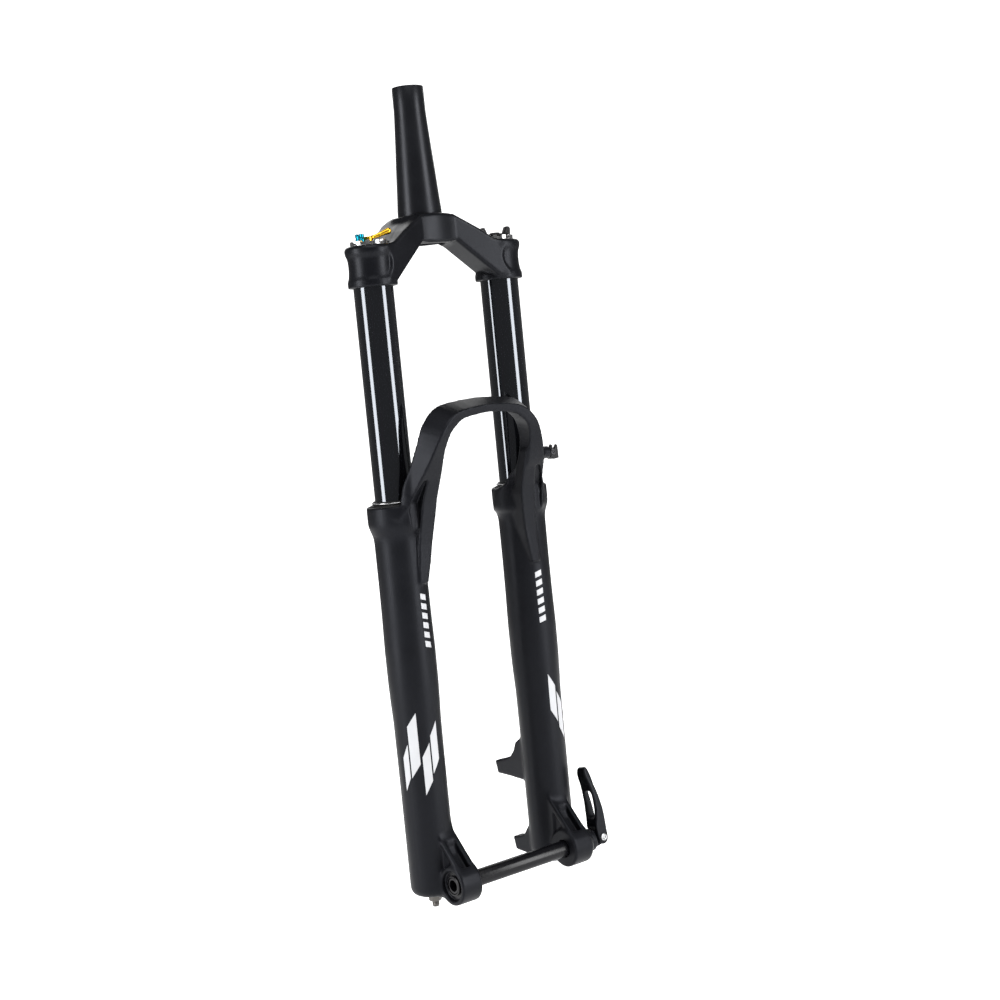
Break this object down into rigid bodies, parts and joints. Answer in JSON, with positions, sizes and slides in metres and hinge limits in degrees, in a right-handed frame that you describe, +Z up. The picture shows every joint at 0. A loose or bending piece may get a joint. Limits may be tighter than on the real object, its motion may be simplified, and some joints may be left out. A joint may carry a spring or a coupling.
{
  "type": "suspension fork",
  "caption": "Single-crown telescopic mountain-bike fork: tapered steerer, sliding lower legs with arch, coil spring and damper, thru axle with quick-release lever, disc brake posts.",
  "frame": {"origin": "centre of the crown race seat, on the steering axis", "axes": "+Z up the steering axis, -Y the way the wheel rolls, +X the rider's left"},
  "size_m": [0.202, 0.1146, 0.7305],
  "materials": {
    "anod_black": "satin black anodised",
    "cast_black": "matte black powder coat on cast magnesium",
    "stanchion_black": "gloss black anodised",
    "silver": "bare machined",
    "steel": "ground",
    "gold": "gold anodised",
    "blue": "teal blue anodised",
    "seal_rubber": "matte",
    "foam": "oiled open-cell foam",
    "bushing": "coated bushing",
    "bronze": "machined",
    "black_plastic": "moulded"
  },
  "bodies": {
    "crown_unit": {"steerer_tube": "anod_black", "crown": "anod_black", "stanchion_right": "stanchion_black", "stanchion_left": "stanchion_black", "damper_top_cap": "silver", "spring_top_cap": "silver", "cap_seal_right": "seal_rubber", "cap_seal_left": "seal_rubber", "damper_tube": "steel", "damper_seal_head": "anod_black", "compression_valve": "bronze", "oil_bladder": "seal_rubber", "divider_plate": "bronze", "spring_shaft_guide": "anod_black", "main_spring": "steel", "top_out_spring": "steel"},
    "lowers": {"lower_casting": "cast_black", "wiper_seal_right": "seal_rubber", "wiper_seal_left": "seal_rubber", "garter_spring_right": "steel", "garter_spring_left": "steel", "foam_ring_right": "foam", "foam_ring_left": "foam", "upper_bushing_right": "bushing", "upper_bushing_left": "bushing", "lower_bushing_right": "bushing", "lower_bushing_left": "bushing", "damper_shaft": "steel", "rebound_piston": "bronze", "spring_shaft": "steel", "spring_seat": "black_plastic", "bottom_out_bumper": "seal_rubber", "foot_nut_right": "silver", "foot_nut_left": "silver", "foot_screw_left": "steel", "axle_thread_insert": "steel", "hose_guide": "black_plastic", "hose_guide_screw": "silver"},
    "lockout": {"lockout_lever": "gold"},
    "compression_adjuster": {"compression_knob": "blue"},
    "compression_needle": {"compression_needle": "steel"},
    "preload_adjuster": {"preload_knob": "black_plastic"},
    "preload_plunger": {"preload_plunger": "black_plastic"},
    "rebound": {"rebound_adjuster": "gold"},
    "axle_carrier": {"axle_collar": "anod_black"},
    "axle": {"axle": "stanchion_black", "cam_pin": "silver"},
    "lever": {"axle_lever": "anod_black"}
  },
  "joints": [
    {"name": "fork_travel", "type": "slide", "parent": "crown_unit", "child": "lowers", "axis": [0, 0, 1], "range_m": [0, 0.17], "stiffness_N_per_m": 7500, "springref_m": -0.006, "deforming": ["main_spring"]},
    {"name": "lockout_turn", "type": "hinge", "parent": "crown_unit", "child": "lockout", "pos_m": [-0.071, -0.0166, -0.018], "axis": [0, 0, 1], "range_deg": [-90, 0]},
    {"name": "compression_turn", "type": "hinge", "parent": "crown_unit", "child": "compression_adjuster", "pos_m": [-0.0791, -0.0154, -0.018], "axis": [0, 0, 1], "range_deg": [0, 720]},
    {"name": "needle_travel", "type": "slide", "parent": "crown_unit", "child": "compression_needle", "axis": [0, 0, -1], "range_m": [0, 0.0015]},
    {"name": "preload_turn", "type": "hinge", "parent": "crown_unit", "child": "preload_adjuster", "pos_m": [0.071, -0.0166, -0.018], "axis": [0, 0, 1], "range_deg": [0, 720]},
    {"name": "preload_travel", "type": "slide", "parent": "crown_unit", "child": "preload_plunger", "axis": [0, 0, -1], "range_m": [0, 0.004]},
    {"name": "rebound_turn", "type": "hinge", "parent": "lowers", "child": "rebound", "pos_m": [-0.071, -0.0166, -0.61], "axis": [0, 0, 1], "range_deg": [0, 720]},
    {"name": "axle_withdraw", "type": "slide", "parent": "lowers", "child": "axle_carrier", "axis": [1, 0, 0], "range_m": [0, 0.16]},
    {"name": "axle_spin", "type": "hinge", "parent": "axle_carrier", "child": "axle", "pos_m": [0, -0.051, -0.589], "axis": [1, 0, 0], "continuous": true},
    {"name": "lever_open", "type": "hinge", "parent": "axle", "child": "lever", "pos_m": [0.099, -0.051, -0.589], "axis": [0, 0.9872, -0.1593], "range_deg": [0, 150]}
  ],
  "couplings": [
    {"joint": "compression_turn", "follows": "needle_travel", "rad_per_m": 8377},
    {"joint": "preload_turn", "follows": "preload_travel", "rad_per_m": 3141}
  ]
}
